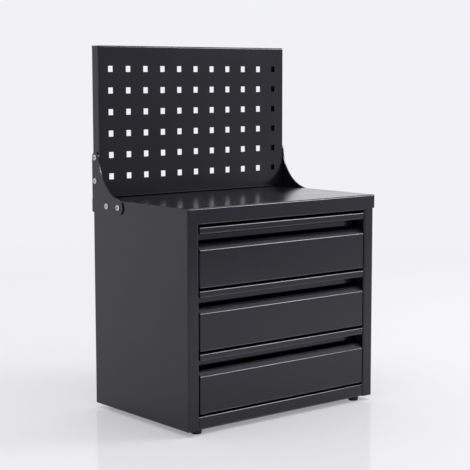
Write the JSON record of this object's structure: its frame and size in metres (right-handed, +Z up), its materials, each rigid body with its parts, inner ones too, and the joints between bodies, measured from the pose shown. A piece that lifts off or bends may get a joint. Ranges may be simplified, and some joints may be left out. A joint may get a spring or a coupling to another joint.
{
  "type": "pegboard desk organizer with drawers",
  "caption": "Desktop sheet-steel drawer cabinet with a square-hole pegboard standing on its top between curved side brackets; drawers run out on ball slides.",
  "frame": {"origin": "on the floor under the middle of the outline, where the feet stand", "axes": "+X to the right seen from the front, +Y to the back, +Z up; the drawers come out along -Y"},
  "size_m": [0.2908, 0.186, 0.429],
  "materials": {
    "black_powder_coat": "satin black powder coat with a fine texture",
    "zinc_steel": "bright zinc plate",
    "nickel_screws": "bright nickel plate",
    "foot_rubber": "matt black rubber"
  },
  "bodies": {
    "cabinet": {"back_panel": "black_powder_coat", "bottom_pan": "black_powder_coat", "foot_front_left": "foot_rubber", "foot_front_right": "foot_rubber", "foot_nuts": "zinc_steel", "foot_rear_left": "foot_rubber", "foot_rear_right": "foot_rubber", "foot_screws": "zinc_steel", "front_left_upright": "black_powder_coat", "front_right_upright": "black_powder_coat", "left_bracket": "black_powder_coat", "left_bracket_nuts": "zinc_steel", "left_bracket_screws": "nickel_screws", "left_side": "black_powder_coat", "pegboard_panel": "black_powder_coat", "rear_left_upright": "black_powder_coat", "rear_right_upright": "black_powder_coat", "right_bracket": "black_powder_coat", "right_bracket_nuts": "zinc_steel", "right_bracket_screws": "nickel_screws", "right_side": "black_powder_coat", "slide_1_left_outer": "zinc_steel", "slide_1_right_outer": "zinc_steel", "slide_2_left_outer": "zinc_steel", "slide_2_right_outer": "zinc_steel", "slide_3_left_outer": "zinc_steel", "slide_3_right_outer": "zinc_steel", "slide_rivets": "zinc_steel", "top_cover": "black_powder_coat", "top_rail": "black_powder_coat"},
    "drawer_1": {"drawer_1_grip": "black_powder_coat", "drawer_1_face": "black_powder_coat", "drawer_1_tray": "black_powder_coat", "drawer_1_rivets": "zinc_steel", "slide_1_left_inner": "zinc_steel", "slide_1_right_inner": "zinc_steel"},
    "ball_cage_1_left": {"slide_1_left_cage": "zinc_steel"},
    "ball_cage_1_right": {"slide_1_right_cage": "zinc_steel"},
    "drawer_2": {"drawer_2_grip": "black_powder_coat", "drawer_2_face": "black_powder_coat", "drawer_2_tray": "black_powder_coat", "drawer_2_rivets": "zinc_steel", "slide_2_left_inner": "zinc_steel", "slide_2_right_inner": "zinc_steel"},
    "ball_cage_2_left": {"slide_2_left_cage": "zinc_steel"},
    "ball_cage_2_right": {"slide_2_right_cage": "zinc_steel"},
    "drawer_3": {"drawer_3_grip": "black_powder_coat", "drawer_3_face": "black_powder_coat", "drawer_3_tray": "black_powder_coat", "drawer_3_rivets": "zinc_steel", "slide_3_left_inner": "zinc_steel", "slide_3_right_inner": "zinc_steel"},
    "ball_cage_3_left": {"slide_3_left_cage": "zinc_steel"},
    "ball_cage_3_right": {"slide_3_right_cage": "zinc_steel"}
  },
  "joints": [
    {"name": "drawer_1_slide", "type": "slide", "parent": "cabinet", "child": "drawer_1", "axis": [0, -1, 0], "range_m": [0, 0.105]},
    {"name": "ball_cage_1_left_slide", "type": "slide", "parent": "cabinet", "child": "ball_cage_1_left", "axis": [0, -1, 0], "range_m": [0, 0.0525]},
    {"name": "ball_cage_1_right_slide", "type": "slide", "parent": "cabinet", "child": "ball_cage_1_right", "axis": [0, -1, 0], "range_m": [0, 0.0525]},
    {"name": "drawer_2_slide", "type": "slide", "parent": "cabinet", "child": "drawer_2", "axis": [0, -1, 0], "range_m": [0, 0.105]},
    {"name": "ball_cage_2_left_slide", "type": "slide", "parent": "cabinet", "child": "ball_cage_2_left", "axis": [0, -1, 0], "range_m": [0, 0.0525]},
    {"name": "ball_cage_2_right_slide", "type": "slide", "parent": "cabinet", "child": "ball_cage_2_right", "axis": [0, -1, 0], "range_m": [0, 0.0525]},
    {"name": "drawer_3_slide", "type": "slide", "parent": "cabinet", "child": "drawer_3", "axis": [0, -1, 0], "range_m": [0, 0.105]},
    {"name": "ball_cage_3_left_slide", "type": "slide", "parent": "cabinet", "child": "ball_cage_3_left", "axis": [0, -1, 0], "range_m": [0, 0.0525]},
    {"name": "ball_cage_3_right_slide", "type": "slide", "parent": "cabinet", "child": "ball_cage_3_right", "axis": [0, -1, 0], "range_m": [0, 0.0525]}
  ],
  "couplings": [
    {"joint": "ball_cage_1_left_slide", "follows": "drawer_1_slide", "ratio": 0.5},
    {"joint": "ball_cage_1_right_slide", "follows": "drawer_1_slide", "ratio": 0.5},
    {"joint": "ball_cage_2_left_slide", "follows": "drawer_2_slide", "ratio": 0.5},
    {"joint": "ball_cage_2_right_slide", "follows": "drawer_2_slide", "ratio": 0.5},
    {"joint": "ball_cage_3_left_slide", "follows": "drawer_3_slide", "ratio": 0.5},
    {"joint": "ball_cage_3_right_slide", "follows": "drawer_3_slide", "ratio": 0.5}
  ]
}
